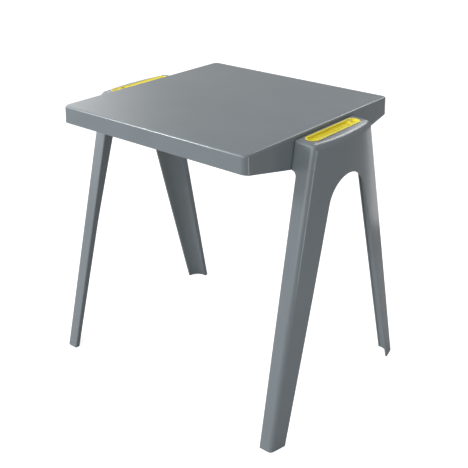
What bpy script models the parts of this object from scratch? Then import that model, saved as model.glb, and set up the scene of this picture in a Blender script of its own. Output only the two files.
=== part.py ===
"""Moulded student desk: ribbed top, two arched leg frames, two pen trays and their fasteners.

Metres, +Z up, origin on the floor under the middle of the desk. The front is at -Y.
"""

import math

import bmesh
import bpy
from mathutils import Matrix, Vector

# Driving sizes
HEIGHT = 0.760
TOP_WIDTH = 0.600
TOP_DEPTH = 0.600
WALL = 0.0045
TOUCH_GAP = 0.0003
OVERCUT = 0.001
LEAST_RADIUS = 0.0008

# Desktop moulding
TOP_SKIN = 0.005
CORNER_RADIUS = 0.015
EDGE_RADIUS = 0.005
APRON_FRONT = 0.0445
APRON_SIDE = 0.0775
APRON_DRAFT = 0.045
RIB_DEPTH = 0.022
RIB_ROOT = 0.004
RIB_TIP = 0.003
RIB_CELLS = 8
RIB_BORDER = WALL + 0.003

# Leg frame moulding
SHOULDER_DROP = 0.0090
SHOULDER_TILT = 0.05
SHOULDER_HALF = 0.1226
SHOULDER_REACH = 0.0576
FOOT_REACH = 0.0839
FOOT_HALF = TOP_DEPTH / 2
BOW_FOOT = 0.13
BOW_TOP = 0.10
CORNER_FOOT = 0.012
CORNER_TOP = 0.0155
INNER_RADIUS = 0.003
ROUND_OUTER = 0.015
ROUND_END = 0.006
ROUND_INNER = 0.0025
FLANGE_FOOT = 0.036
FLANGE_TOP = 0.0425
FLANGE_THICK_FOOT = 0.0125
FLANGE_THICK_TOP = 0.0215
INSIDE_ROUND = 0.036
NOTCH_RADIUS = 0.014
SEAT_STEP = 0.0015
LIP_FOOT = 0.0135
LIP_TOP = 0.024
LIP_CORNER = 0.020
ARCH_DROP = 0.108
ARCH_RADIUS = 0.082
LEG_FOOT = 0.046

# Pen tray, measured from the middle of its rim
TRAY_REACH = 0.0255
TRAY_HALF_WIDTH = 0.0175
TRAY_HALF_LENGTH = 0.1055
TRAY_RIM = 0.0020
TRAY_DEPTH = 0.0075
TRAY_FLOOR = 0.003
TRAY_CROWN = 0.0012
RIM_THICK = 0.0007
RIM_ROUND = 0.0010
TROUGH_HALF = 0.0135
TROUGH_SHIFT = 0.0015
TROUGH_END = 0.004
TROUGH_LOW = 0.0042
TROUGH_RUN = 0.0018
TROUGH_EDGE = 0.0006
SHELF_START = 0.072
SHELF_DROP = 0.0006
SHELF_RADIUS = 0.0126
CUP_RADIUS = 0.0065
HOLE_ACROSS = 0.0070
HOLE_ALONG = 0.057
HOLE_RADIUS = 0.0042
HOLE_ROOM = 0.0020
HOLE_WEB = 0.0012

# Fasteners
SCREW_DROP = 0.055
SCREW_SPACING = 0.063
SCREWS_PER_SIDE = 4
SCREW_DIAMETER = 0.006
SCREW_LENGTH = 0.020
SCREW_CHAMFER = 0.0008
HEAD_DIAMETER = 0.0105
HEAD_HEIGHT = 0.0033
HEAD_FLAT = 0.0061
HEAD_EDGE = 0.0008
SOCKET_WIDTH = 0.004
SOCKET_DEPTH = 0.0022
WASHER_DIAMETER = 0.014
WASHER_THICK = 0.0012
INSERT_DIAMETER = 0.009
INSERT_LENGTH = 0.012
INSERT_INSET = 0.0005
BOSS_DIAMETER = 0.018
BOSS_LENGTH = 0.018
PAD_DIAMETER = 0.020
PAD_HEIGHT = 0.0016

# Steps along the rounded outlines
CORNER_STEPS = 6
BOW_STEPS = 14
ROUND_STEPS = 5
ARCH_STEPS = 24
RING_STEPS = 32
FASTENER_STEPS = 16
HEAD_STEPS = 2

# Colour (linear), roughness and metalness of each kind of piece
GREY_PLASTIC = ((0.235, 0.255, 0.270), 0.42, 0.0)
YELLOW_PLASTIC = ((0.80, 0.68, 0.020), 0.35, 0.0)
ZINC_STEEL = ((0.56, 0.57, 0.59), 0.32, 1.0)
BRASS = ((0.72, 0.52, 0.22), 0.35, 1.0)

# Sizes that follow from the ones above
SHOULDER_TOP = HEIGHT - SHOULDER_DROP
NOTCH_TOP = HEIGHT - APRON_SIDE
ARCH_APEX = HEIGHT - ARCH_DROP
ROUND_SINK = 0.75 * WALL
SCREW_HEIGHT = HEIGHT - SCREW_DROP
BORE_DIAMETER = SCREW_DIAMETER + 2 * TOUCH_GAP
PAST = 0.020


def lerp(start, end, share):
    """Value between start and end at the given share."""
    return start + (end - start) * share


# Mesh helpers


def material(name, colour, roughness, metallic=0.0):
    """One Principled material."""
    made = bpy.data.materials.new(name)
    made.use_nodes = True
    shader = made.node_tree.nodes["Principled BSDF"]
    shader.inputs["Base Color"].default_value = (*colour, 1.0)
    shader.inputs["Roughness"].default_value = roughness
    shader.inputs["Metallic"].default_value = metallic
    return made


def loft(rings):
    """Closed body through rings of equal length, with a cap at each end."""
    body = bmesh.new()
    rows = [[body.verts.new(point) for point in ring] for ring in rings]
    for lower, upper in zip(rows, rows[1:]):
        for index in range(len(lower)):
            after = (index + 1) % len(lower)
            body.faces.new((lower[index], lower[after], upper[after], upper[index]))
    body.faces.new(list(reversed(rows[0])))
    body.faces.new(rows[-1])
    bmesh.ops.recalc_face_normals(body, faces=body.faces)
    return body


def to_mesh(name, bodies):
    """Mesh that holds one body, or the several bodies of a tool."""
    whole = bmesh.new()
    for body in bodies:
        piece = bpy.data.meshes.new(name)
        body.to_mesh(piece)
        whole.from_mesh(piece)
        body.free()
        bpy.data.meshes.remove(piece)
    mesh = bpy.data.meshes.new(name)
    whole.to_mesh(mesh)
    whole.free()
    return mesh


def to_object(name, bodies):
    """Object in the scene made from one or more bodies."""
    made = bpy.data.objects.new(name, to_mesh(name, bodies))
    bpy.context.scene.collection.objects.link(made)
    return made


def combine(target, bodies, operation):
    """Apply one exact Boolean to the target and drop the tool body."""
    tool = to_object("tool", bodies)
    tool.hide_render = True
    tool.display_type = "WIRE"
    step = target.modifiers.new(operation, "BOOLEAN")
    step.operation = operation
    step.solver = "EXACT"
    step.object = tool
    graph = bpy.context.evaluated_depsgraph_get()
    before = target.data
    target.data = bpy.data.meshes.new_from_object(target.evaluated_get(graph))
    target.modifiers.clear()
    bpy.data.meshes.remove(before)
    bpy.data.objects.remove(tool, do_unlink=True)


def finish(target, finish_material, sharp_degrees=32.0):
    """Clean the mesh, shade its rounded faces smooth and give it its material."""
    body = bmesh.new()
    body.from_mesh(target.data)
    bmesh.ops.remove_doubles(body, verts=body.verts, dist=0.00002)
    bmesh.ops.recalc_face_normals(body, faces=body.faces)
    body.to_mesh(target.data)
    body.free()
    target.data.shade_smooth()
    target.data.set_sharp_from_angle(angle=math.radians(sharp_degrees))
    target.data.materials.clear()
    target.data.materials.append(finish_material)
    return target


def turned_copy(source, name, look):
    """The same piece on the other side: turned half round about Z."""
    made = bpy.data.objects.new(name, source.data.copy())
    made.data.transform(Matrix.Rotation(math.pi, 4, "Z"))
    made.data.materials.clear()
    made.data.materials.append(material(name + "_finish", *look))
    bpy.context.scene.collection.objects.link(made)
    return made


# Outlines


def fillet(before, corner, after, radius, steps):
    """Points of a round corner between two directions, in the plane."""
    corner = Vector(corner)
    back = (Vector(before) - corner).normalized()
    ahead = (Vector(after) - corner).normalized()
    half = 0.5 * math.acos(max(-1.0, min(1.0, back.dot(ahead))))
    reach = radius / math.tan(half)
    first = corner + back * reach
    last = corner + ahead * reach
    weight = math.sin(half)
    points = []
    for step in range(steps + 1):
        share = step / steps
        near = (1 - share) ** 2
        middle = 2 * weight * share * (1 - share)
        far = share ** 2
        points.append((first * near + corner * middle + last * far) / (near + middle + far))
    return points


def stadium(half_width, half_length, shift, height_at):
    """Ring with straight sides and round ends, its height set by height_at(u)."""
    ring = []
    straight = half_length - half_width
    for end, start in ((-1, math.pi), (1, 0.0)):
        for step in range(RING_STEPS // 2 + 1):
            angle = start + math.pi * step / (RING_STEPS // 2)
            across = shift + half_width * math.cos(angle)
            along = end * straight + half_width * math.sin(angle)
            ring.append(Vector((across, along, height_at(across))))
    return ring


def circle_x(start_x, y, z, radius):
    """Ring about an axis along X."""
    ring = []
    for step in range(FASTENER_STEPS):
        angle = 2 * math.pi * step / FASTENER_STEPS
        ring.append(Vector((start_x, y + radius * math.cos(angle), z + radius * math.sin(angle))))
    return ring


def rod_x(start_x, end_x, y, z, radius):
    """Plain cylinder along X."""
    return loft([circle_x(start_x, y, z, radius), circle_x(end_x, y, z, radius)])


# Desktop


def apron_face(z):
    """How far out the drafted outer face of the side apron is at a height."""
    return TOP_WIDTH / 2 + APRON_DRAFT * (HEIGHT - z)


def top_outline():
    """Points and outward directions around the desktop, anticlockwise from above."""
    outline = []
    for side_x, side_y, start in ((1, -1, -90), (1, 1, 0), (-1, 1, 90), (-1, -1, 180)):
        for step in range(CORNER_STEPS + 1):
            angle = math.radians(start + 90 * step / CORNER_STEPS)
            outward = Vector((math.cos(angle), math.sin(angle), 0))
            centre = Vector((
                side_x * (TOP_WIDTH / 2 - CORNER_RADIUS),
                side_y * (TOP_DEPTH / 2 - CORNER_RADIUS),
                0,
            ))
            outline.append((centre + outward * CORNER_RADIUS, outward))
    return outline


def top_ring(inset, depth):
    """Ring around the desktop, set in from its drafted face, at a depth below the top."""
    ring = []
    for point, outward in top_outline():
        place = point + outward * (APRON_DRAFT * depth - inset)
        ring.append(Vector((place.x, place.y, HEIGHT - depth)))
    return ring


def top_block():
    """Solid outside of the desktop, with its rounded upper edge."""
    rings = [top_ring(0.0, APRON_SIDE)]
    for step in range(ROUND_STEPS + 1):
        angle = 0.5 * math.pi * step / ROUND_STEPS
        inset = EDGE_RADIUS * (1 - math.cos(angle))
        depth = EDGE_RADIUS * (1 - math.sin(angle))
        rings.append(top_ring(inset, depth))
    return loft(rings)


def top_hollow():
    """Space inside the apron, up to the tips of the ribs."""
    return loft([top_ring(WALL, APRON_SIDE + PAST), top_ring(WALL, TOP_SKIN + RIB_DEPTH)])


def apron_trims():
    """What is cut away below the apron, in front and behind: level, then sloping down to the frames."""
    trims = []
    meet = frame_half(NOTCH_TOP)
    edge = TOP_DEPTH / 2
    shallow = HEIGHT - APRON_FRONT
    deep = NOTCH_TOP - PAST
    for side in (-1, 1):
        outline = ((meet, deep), (meet, NOTCH_TOP), (edge, shallow), (edge + PAST, shallow), (edge + PAST, deep))
        rings = []
        for x in (-TOP_WIDTH, TOP_WIDTH):
            rings.append([Vector((x, side * y, z)) for y, z in outline])
        trims.append(loft(rings))
    return trims


def rib_pockets():
    """One drafted pocket for each cell of the rib grid under the top."""
    pockets = []
    span_x = TOP_WIDTH - 2 * RIB_BORDER
    span_y = TOP_DEPTH - 2 * RIB_BORDER
    roof = HEIGHT - TOP_SKIN
    mouth = roof - RIB_DEPTH - OVERCUT
    for column in range(RIB_CELLS):
        for row in range(RIB_CELLS):
            middle_x = -span_x / 2 + span_x * (column + 0.5) / RIB_CELLS
            middle_y = -span_y / 2 + span_y * (row + 0.5) / RIB_CELLS
            rings = []
            for level, rib in ((mouth, RIB_TIP), (roof, RIB_ROOT)):
                half_x = (span_x / RIB_CELLS - rib) / 2
                half_y = (span_y / RIB_CELLS - rib) / 2
                corners = ((-1, -1), (1, -1), (1, 1), (-1, 1))
                rings.append([
                    Vector((middle_x + sx * half_x, middle_y + sy * half_y, level)) for sx, sy in corners
                ])
            pockets.append(loft(rings))
    return pockets


def screw_rows():
    """Distance of each screw from the middle of the side."""
    first = -SCREW_SPACING * (SCREWS_PER_SIDE - 1) / 2
    return [first + SCREW_SPACING * index for index in range(SCREWS_PER_SIDE)]


def pad_face():
    """Flat face of the screw pads inside the side apron."""
    return apron_face(SCREW_HEIGHT) - WALL - PAD_HEIGHT


def screw_rods(start_x, end_x, radius):
    """Rods along X at every screw, on both sides of the desk."""
    rods = []
    for side in (-1, 1):
        for y in screw_rows():
            rods.append(rod_x(side * start_x, side * end_x, y, SCREW_HEIGHT, radius))
    return rods


def build_desktop():
    """Ribbed shell with screw pads and holes inside its side aprons."""
    desktop = to_object("desktop", [top_block()])
    combine(desktop, [top_hollow()], "DIFFERENCE")
    combine(desktop, apron_trims(), "DIFFERENCE")
    combine(desktop, rib_pockets(), "DIFFERENCE")
    middle_of_wall = apron_face(SCREW_HEIGHT) - WALL / 2
    combine(desktop, screw_rods(pad_face(), middle_of_wall, PAD_DIAMETER / 2), "UNION")
    past_wall = apron_face(SCREW_HEIGHT) + PAST
    combine(desktop, screw_rods(pad_face() - PAST, past_wall, BORE_DIAMETER / 2), "DIFFERENCE")
    return finish(desktop, material("desktop_finish", *GREY_PLASTIC))


# Leg frame


def frame_half(z):
    """Half length of the leg frame, along Y, at a height."""
    return lerp(FOOT_HALF, SHOULDER_HALF, z / SHOULDER_TOP)


def frame_corner(z):
    """How far out the outer corners of the leg frame are at a height."""
    return TOP_WIDTH / 2 + lerp(FOOT_REACH, SHOULDER_REACH, z / SHOULDER_TOP)


def frame_bulge(z):
    """How far the bowed outer face stands out past its corners, as if the arch were filled."""
    return frame_half(z) * lerp(BOW_FOOT, BOW_TOP, z / SHOULDER_TOP)


def seat_face(z):
    """Inner face of the shoulder, which lies against the side apron."""
    return apron_face(z) + TOUCH_GAP


def flange_edge(z):
    """Inner edge of the leg flanges below the apron."""
    return frame_corner(z) - lerp(FLANGE_FOOT, FLANGE_TOP, z / NOTCH_TOP)


def inner_edge(z):
    """Inner edge of the whole frame: leg flange, round notch, then the shoulder seat."""
    centre_z = NOTCH_TOP - NOTCH_RADIUS
    centre_x = flange_edge(centre_z) - NOTCH_RADIUS
    if z <= centre_z:
        return flange_edge(z)
    if z <= NOTCH_TOP:
        rise = z - centre_z
        return centre_x + math.sqrt(max(NOTCH_RADIUS ** 2 - rise ** 2, 0.0))
    return seat_face(z)


def frame_section(z, inset):
    """Plan outline of the frame at a height: list of (point, outward, share of the outer rounding)."""
    half = frame_half(z) - inset
    corner_x = frame_corner(z) - inset
    inner_x = inner_edge(z - inset) + inset
    bulge = frame_bulge(z)
    lean = 2 * bulge / half
    corner_radius = lerp(CORNER_FOOT, CORNER_TOP, z / SHOULDER_TOP) - inset
    inner_radius = max(INNER_RADIUS - inset, LEAST_RADIUS)
    front = []
    front += [(point, 0.0) for point in fillet(
        (inner_x, 0), (inner_x, -half), (corner_x, -half), inner_radius, CORNER_STEPS // 2)]
    arc = fillet(
        (inner_x, -half), (corner_x, -half), (corner_x + lean * half, 0), corner_radius, CORNER_STEPS)
    front += [(point, step / CORNER_STEPS) for step, point in enumerate(arc)]
    start_y = arc[-1].y
    bow = []
    for step in range(1, BOW_STEPS):
        y = start_y * (1 - 2 * step / BOW_STEPS)
        bow.append((Vector((corner_x + bulge * (1 - (y / half) ** 2), y)), 1.0))
    back = [(Vector((point.x, -point.y)), share) for point, share in reversed(front)]
    outline = front + bow + back
    placed = []
    count = len(outline)
    for index, (point, share) in enumerate(outline):
        along = outline[(index + 1) % count][0] - outline[index - 1][0]
        placed.append((point, Vector((along.y, -along.x)).normalized(), share))
    return placed


def rounding_at(index, count, share, inset):
    """Radius of the rounding of the top edge at one point of the outline."""
    corner_points = CORNER_STEPS // 2 + 1
    if index < corner_points:
        radius = lerp(ROUND_INNER, ROUND_END, index / (corner_points - 1))
    elif index >= count - corner_points:
        radius = lerp(ROUND_INNER, ROUND_END, (count - 1 - index) / (corner_points - 1))
    else:
        radius = lerp(ROUND_END, ROUND_OUTER, share)
    return max(radius - inset, LEAST_RADIUS)


def shoulder_level(x, inset):
    """Height of the sloping top of the shoulder."""
    return SHOULDER_TOP - SHOULDER_TILT * (x - TOP_WIDTH / 2) - inset


def frame_body(inset, bottom):
    """Body of the frame's outside (inset 0) or of the space inside its walls."""
    centre_z = NOTCH_TOP - NOTCH_RADIUS
    levels = [bottom]
    for step in range(CORNER_STEPS + 1):
        levels.append(centre_z + inset + NOTCH_RADIUS * math.sin(0.5 * math.pi * step / CORNER_STEPS))
    levels.append(NOTCH_TOP + inset + SEAT_STEP)
    rings = []
    for level in levels:
        rings.append([Vector((point.x, point.y, level)) for point, _, _ in frame_section(level, inset)])
    nominal = frame_section(SHOULDER_TOP - inset, inset)
    for step in range(ROUND_STEPS + 1):
        angle = 0.5 * math.pi * step / ROUND_STEPS
        ring = []
        for index, (top_point, _, share) in enumerate(nominal):
            radius = rounding_at(index, len(nominal), share, inset)
            level = shoulder_level(top_point.x, inset) - radius * (1 - math.sin(angle))
            point, outward, _ = frame_section(level, inset)[index]
            place = point - outward * radius * (1 - math.cos(angle))
            ring.append(Vector((place.x, place.y, level)))
        rings.append(ring)
    return loft(rings)


def core_ring(z, end):
    """Plan of the solid corner inside one leg: flange face, large round, then out past the walls."""
    side = frame_half(z) - lerp(FLANGE_THICK_FOOT, FLANGE_THICK_TOP, z / ARCH_APEX)
    inside = flange_edge(z)
    outside = frame_corner(z) + PAST
    half = frame_half(z) - WALL
    in_wall = []
    for y in (side, side - INSIDE_ROUND):
        in_wall.append((frame_corner(z) - ROUND_SINK + frame_bulge(z) * (1 - (y / half) ** 2), y))
    arc = fillet((inside, side), in_wall[0], in_wall[1], INSIDE_ROUND, CORNER_STEPS)
    outline = [(inside, side)] + [(point.x, point.y) for point in arc]
    outline += [(outside, arc[-1].y), (outside, side + PAST), (inside, side + PAST)]
    return [Vector((x, end * y, z)) for x, y in outline]


def frame_hollow():
    """Space inside the walls of the frame, less the solid corners inside its legs."""
    hollow = to_object("hollow", [frame_body(WALL, -PAST)])
    cores = [loft([core_ring(-2 * PAST, end), core_ring(ARCH_APEX, end)]) for end in (-1, 1)]
    combine(hollow, cores, "DIFFERENCE")
    body = bmesh.new()
    body.from_mesh(hollow.data)
    bpy.data.objects.remove(hollow, do_unlink=True)
    return body


def middle_of_channel(z):
    """A place between the inner and outer walls of the leg channel."""
    return (flange_edge(z) + frame_corner(z)) / 2


def side_prism(outline, outward):
    """Prism along X through the outer wall (outward True) or through the inner wall."""
    far = TOP_WIDTH if outward else TOP_WIDTH / 4
    near_ring = [Vector((middle_of_channel(z), y, z)) for y, z in outline]
    far_ring = [Vector((far, y, z)) for y, z in outline]
    return loft([near_ring, far_ring])


def arch_outline():
    """Arch of the outer wall: straight leg edges tangent to a round crown."""
    foot_y = FOOT_HALF - LEG_FOOT
    centre_z = ARCH_APEX - ARCH_RADIUS
    distance = math.hypot(foot_y, centre_z)
    to_centre = math.atan2(centre_z, -foot_y)
    lean = to_centre - math.asin(ARCH_RADIUS / distance)
    touch = lean - 0.5 * math.pi
    below = -PAST
    foot_below = foot_y + below / math.tan(lean)
    outline = [(foot_below, below)]
    for step in range(ARCH_STEPS + 1):
        angle = lerp(touch, math.pi - touch, step / ARCH_STEPS)
        outline.append((ARCH_RADIUS * math.cos(angle), centre_z + ARCH_RADIUS * math.sin(angle)))
    outline.append((-foot_below, below))
    return outline


def window_half(z):
    """Half width of the opening between the return lips of the two legs."""
    return frame_half(z) - lerp(LIP_FOOT, LIP_TOP, z / ARCH_APEX)


def window_outline():
    """Opening in the inner wall, from the floor to the lower edge of the shoulder seat."""
    top = NOTCH_TOP - OVERCUT
    below = -PAST
    corner = (window_half(top), top)
    arc = fillet((window_half(below), below), corner, (0.0, top), LIP_CORNER, CORNER_STEPS)
    right = [(window_half(below), below)] + [(point.x, point.y) for point in arc]
    return right + [(-y, z) for y, z in reversed(right)]


def tray_place():
    """Where the pen tray sits: on the sloping top of the right shoulder."""
    x = TOP_WIDTH / 2 + TRAY_REACH
    tilt = Matrix.Rotation(math.atan(SHOULDER_TILT), 4, "Y")
    return Matrix.Translation((x, 0, shoulder_level(x, 0.0))) @ tilt


def tray_slot():
    """Cutter for the slot that takes the body of the tray."""
    half_width = TRAY_HALF_WIDTH - TRAY_RIM + TOUCH_GAP
    half_length = TRAY_HALF_LENGTH - TRAY_RIM + TOUCH_GAP
    slot = loft([
        stadium(half_width, half_length, 0.0, lambda u: -PAST),
        stadium(half_width, half_length, 0.0, lambda u: PAST),
    ])
    slot.transform(tray_place())
    return slot


def build_leg_frame():
    """Right leg frame: bowed outside, hollow shoulder, thick-edged legs, arch, tray slot and bosses."""
    frame = to_object("leg_frame_right", [frame_body(0.0, 0.0)])
    combine(frame, [frame_hollow()], "DIFFERENCE")
    combine(frame, [side_prism(arch_outline(), True)], "DIFFERENCE")
    combine(frame, [side_prism(window_outline(), False)], "DIFFERENCE")
    combine(frame, [tray_slot()], "DIFFERENCE")
    seat = seat_face(SCREW_HEIGHT)
    in_plate = seat + WALL / 2
    bosses = [rod_x(in_plate, seat + BOSS_LENGTH, y, SCREW_HEIGHT, BOSS_DIAMETER / 2) for y in screw_rows()]
    combine(frame, bosses, "UNION")
    hole_end = seat + INSERT_INSET + INSERT_LENGTH + TOUCH_GAP
    hole_radius = INSERT_DIAMETER / 2 + TOUCH_GAP
    holes = [rod_x(seat - PAST, hole_end, y, SCREW_HEIGHT, hole_radius) for y in screw_rows()]
    combine(frame, holes, "DIFFERENCE")
    return finish(frame, material("leg_frame_right_finish", *GREY_PLASTIC))


# Pen tray


def slope_level(u):
    """Height of the trough's floor: low beside the desktop, level with the rim on the outer side."""
    reach = TROUGH_HALF - TROUGH_RUN
    share = (u - TROUGH_SHIFT + reach) / (2 * reach)
    return lerp(-TROUGH_LOW, TRAY_CROWN - TROUGH_EDGE, min(max(share, 0.0), 1.0))


def tray_rings():
    """Rings from the underside of the tray over its rim and down to the sloping floor of the trough."""
    body_width = TRAY_HALF_WIDTH - TRAY_RIM
    body_length = TRAY_HALF_LENGTH - TRAY_RIM
    seat = TOUCH_GAP
    length = TRAY_HALF_LENGTH - TROUGH_END
    shift = TROUGH_SHIFT
    return [
        stadium(body_width, body_length, 0.0, lambda u: -TRAY_DEPTH),
        stadium(body_width, body_length, 0.0, lambda u: seat),
        stadium(TRAY_HALF_WIDTH, TRAY_HALF_LENGTH, 0.0, lambda u: seat),
        stadium(TRAY_HALF_WIDTH, TRAY_HALF_LENGTH, 0.0, lambda u: seat + RIM_THICK),
        stadium(TRAY_HALF_WIDTH - RIM_ROUND, TRAY_HALF_LENGTH - RIM_ROUND, 0.0, lambda u: TRAY_CROWN),
        stadium(TROUGH_HALF, length, shift, lambda u: TRAY_CROWN),
        stadium(TROUGH_HALF - TROUGH_EDGE, length - TROUGH_EDGE, shift, lambda u: TRAY_CROWN - TROUGH_EDGE),
        stadium(TROUGH_HALF - TROUGH_RUN, length - TROUGH_RUN, shift, slope_level),
    ]


def tray_shelf():
    """Raised shelf at the far end of the trough."""
    straight = TRAY_HALF_LENGTH - TRAY_HALF_WIDTH
    middle = TROUGH_SHIFT
    outline = [Vector((middle - SHELF_RADIUS, SHELF_START)), Vector((middle + SHELF_RADIUS, SHELF_START))]
    for step in range(RING_STEPS // 2 + 1):
        angle = math.pi * step / (RING_STEPS // 2)
        outline.append(Vector((
            middle + SHELF_RADIUS * math.cos(angle), straight + SHELF_RADIUS * math.sin(angle))))
    lower = -TRAY_DEPTH + 0.5 * TRAY_FLOOR
    return loft([
        [Vector((point.x, point.y, lower)) for point in outline],
        [Vector((point.x, point.y, -SHELF_DROP)) for point in outline],
    ])


def upright_rod(u, v, low, high, radius):
    """Upright cylinder in the tray's own directions."""
    rings = []
    for level in (low, high):
        ring = []
        for step in range(RING_STEPS):
            angle = 2 * math.pi * step / RING_STEPS
            ring.append(Vector((u + radius * math.cos(angle), v + radius * math.sin(angle), level)))
        rings.append(ring)
    return loft(rings)


def hole_room():
    """Room under the hole, which leaves a thin web round it along the sloping floor."""
    radius = HOLE_RADIUS + HOLE_ROOM
    rings = [[], []]
    for step in range(RING_STEPS):
        angle = 2 * math.pi * step / RING_STEPS
        u = HOLE_ACROSS + radius * math.cos(angle)
        v = HOLE_ALONG + radius * math.sin(angle)
        rings[0].append(Vector((u, v, -PAST)))
        rings[1].append(Vector((u, v, slope_level(u) - HOLE_WEB)))
    return loft(rings)


def build_pen_tray():
    """Right pen tray: sloping trough, shelf with a round cup, and a round hole in the floor."""
    tray = to_object("pen_tray_right", [loft(tray_rings())])
    combine(tray, [tray_shelf()], "UNION")
    cup_y = TRAY_HALF_LENGTH - TRAY_HALF_WIDTH
    cup_floor = TRAY_FLOOR - TRAY_DEPTH
    combine(tray, [upright_rod(0.0, cup_y, cup_floor, PAST, CUP_RADIUS)], "DIFFERENCE")
    combine(tray, [hole_room()], "DIFFERENCE")
    combine(tray, [upright_rod(HOLE_ACROSS, HOLE_ALONG, -PAST, PAST, HOLE_RADIUS)], "DIFFERENCE")
    tray.data.transform(tray_place())
    return finish(tray, material("pen_tray_right_finish", *YELLOW_PLASTIC))


# Fasteners


def hexagon_x(start_x, y, z, across):
    """Hexagon ring about an axis along X, with as many points as a round ring."""
    ring = []
    for step in range(FASTENER_STEPS):
        angle = 2 * math.pi * step / FASTENER_STEPS
        sector = (angle % (math.pi / 3)) - math.pi / 6
        radius = 0.5 * across / math.cos(sector)
        ring.append(Vector((start_x, y + radius * math.cos(angle), z + radius * math.sin(angle))))
    return ring


def washer_face():
    """Side of the washer that the screw head presses on."""
    return pad_face() - TOUCH_GAP - WASHER_THICK


def screw_body(y):
    """Button head screw with a hexagon socket, pointing outwards along +X."""
    z = SCREW_HEIGHT
    under = washer_face() - TOUCH_GAP
    top = under - HEAD_HEIGHT
    head = HEAD_DIAMETER / 2
    shank = SCREW_DIAMETER / 2
    rings = [
        hexagon_x(top + SOCKET_DEPTH, y, z, SOCKET_WIDTH),
        hexagon_x(top, y, z, SOCKET_WIDTH),
    ]
    for step in range(HEAD_STEPS + 1):
        angle = 0.5 * math.pi * step / HEAD_STEPS
        level = top + (HEAD_HEIGHT - HEAD_EDGE) * (1 - math.cos(angle))
        rings.append(circle_x(level, y, z, lerp(HEAD_FLAT / 2, head, math.sin(angle))))
    rings += [
        circle_x(under, y, z, head),
        circle_x(under, y, z, shank),
        circle_x(under + SCREW_LENGTH - SCREW_CHAMFER, y, z, shank),
        circle_x(under + SCREW_LENGTH, y, z, shank - SCREW_CHAMFER),
    ]
    return loft(rings)


def tube_x(start_x, end_x, y, z, outer, inner):
    """Ring-shaped body along X."""
    body = bmesh.new()
    rows = []
    for level, radius in ((start_x, inner), (start_x, outer), (end_x, outer), (end_x, inner)):
        rows.append([body.verts.new(point) for point in circle_x(level, y, z, radius)])
    for row, following in zip(rows, rows[1:] + rows[:1]):
        for index in range(len(row)):
            after = (index + 1) % len(row)
            body.faces.new((row[index], row[after], following[after], following[index]))
    bmesh.ops.recalc_face_normals(body, faces=body.faces)
    return body


def build_fasteners(number, y):
    """One screw of the right side with its washer and its threaded insert."""
    z = SCREW_HEIGHT
    screw = to_object(f"frame_screw_right_{number}", [screw_body(y)])
    face = washer_face()
    washer = to_object(f"washer_right_{number}", [
        tube_x(face, face + WASHER_THICK, y, z, WASHER_DIAMETER / 2, BORE_DIAMETER / 2)])
    start = seat_face(z) + INSERT_INSET
    insert = to_object(f"threaded_insert_right_{number}", [
        tube_x(start, start + INSERT_LENGTH, y, z, INSERT_DIAMETER / 2, BORE_DIAMETER / 2)])
    return [
        finish(screw, material(screw.name + "_finish", *ZINC_STEEL)),
        finish(washer, material(washer.name + "_finish", *ZINC_STEEL)),
        finish(insert, material(insert.name + "_finish", *BRASS)),
    ]


# Whole desk


def clear_scene():
    """Remove what a new Blender file holds."""
    for item in list(bpy.data.objects):
        bpy.data.objects.remove(item, do_unlink=True)


def build():
    """Build every piece once and turn the side pieces round for the left."""
    clear_scene()
    build_desktop()
    right = [(build_leg_frame(), GREY_PLASTIC), (build_pen_tray(), YELLOW_PLASTIC)]
    for number, y in enumerate(screw_rows(), start=1):
        finishes = (ZINC_STEEL, ZINC_STEEL, BRASS)
        right += list(zip(build_fasteners(number, y), finishes))
    for piece, look in right:
        turned_copy(piece, piece.name.replace("right", "left"), look)


build()
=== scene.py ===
"""Looks of the moulded student desk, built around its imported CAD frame.

Metres, +Z up, origin on the floor under the middle of the desk. The front is at -Y.
"""

import logging
import math
from dataclasses import dataclass, field
from enum import Enum
from typing import Any, Callable, Sequence

import bmesh
import bpy
from mathutils import Matrix, Vector

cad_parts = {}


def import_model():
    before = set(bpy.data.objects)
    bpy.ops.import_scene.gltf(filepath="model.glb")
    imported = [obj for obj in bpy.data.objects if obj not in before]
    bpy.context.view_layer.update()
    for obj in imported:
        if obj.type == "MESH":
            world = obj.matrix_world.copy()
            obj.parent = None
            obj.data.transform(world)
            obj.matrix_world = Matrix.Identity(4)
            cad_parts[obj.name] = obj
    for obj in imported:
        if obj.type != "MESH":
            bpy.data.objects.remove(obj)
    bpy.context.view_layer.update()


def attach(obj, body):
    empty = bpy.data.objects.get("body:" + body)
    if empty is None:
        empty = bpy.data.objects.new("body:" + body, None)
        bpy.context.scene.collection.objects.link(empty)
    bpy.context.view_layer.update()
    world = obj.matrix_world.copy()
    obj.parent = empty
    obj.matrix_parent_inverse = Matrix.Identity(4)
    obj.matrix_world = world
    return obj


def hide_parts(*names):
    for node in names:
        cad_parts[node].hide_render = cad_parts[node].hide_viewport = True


LOG = logging.getLogger("student_desk")
BODY = "root"
Grid = list[list[Vector]]
Socket = bpy.types.NodeSocket
Tree = bpy.types.NodeTree
Material = bpy.types.Material
Mesh = bpy.types.Mesh
Piece = bpy.types.Object
Solid = bmesh.types.BMesh

# Points closer than this are one point
MERGE = 1e-6
# Edges that bend by more than this are shaded sharp
SHARP_DEGREES = 38.0
# Rims that bend by more than this get a rounded corner
RIM_CORNER_DEGREES = 50.0
RIM_SEGMENTS = 3
# Most values of a noise lie between these
NOISE_LOW = 0.3
NOISE_HIGH = 0.7
DRIFT_DETAIL = 3.0
GRAIN_DETAIL = 2.0
# Share by which the roughness drifts either way
ROUGHNESS_DRIFT = 0.1
WHITE = "#FFFFFF"


class Slot(Enum):
    """Material slots of the record."""

    GREY = "grey_polypropylene"
    YELLOW = "yellow_abs"
    ZINC = "zinc_plated_steel"
    BRASS = "brass"


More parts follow.
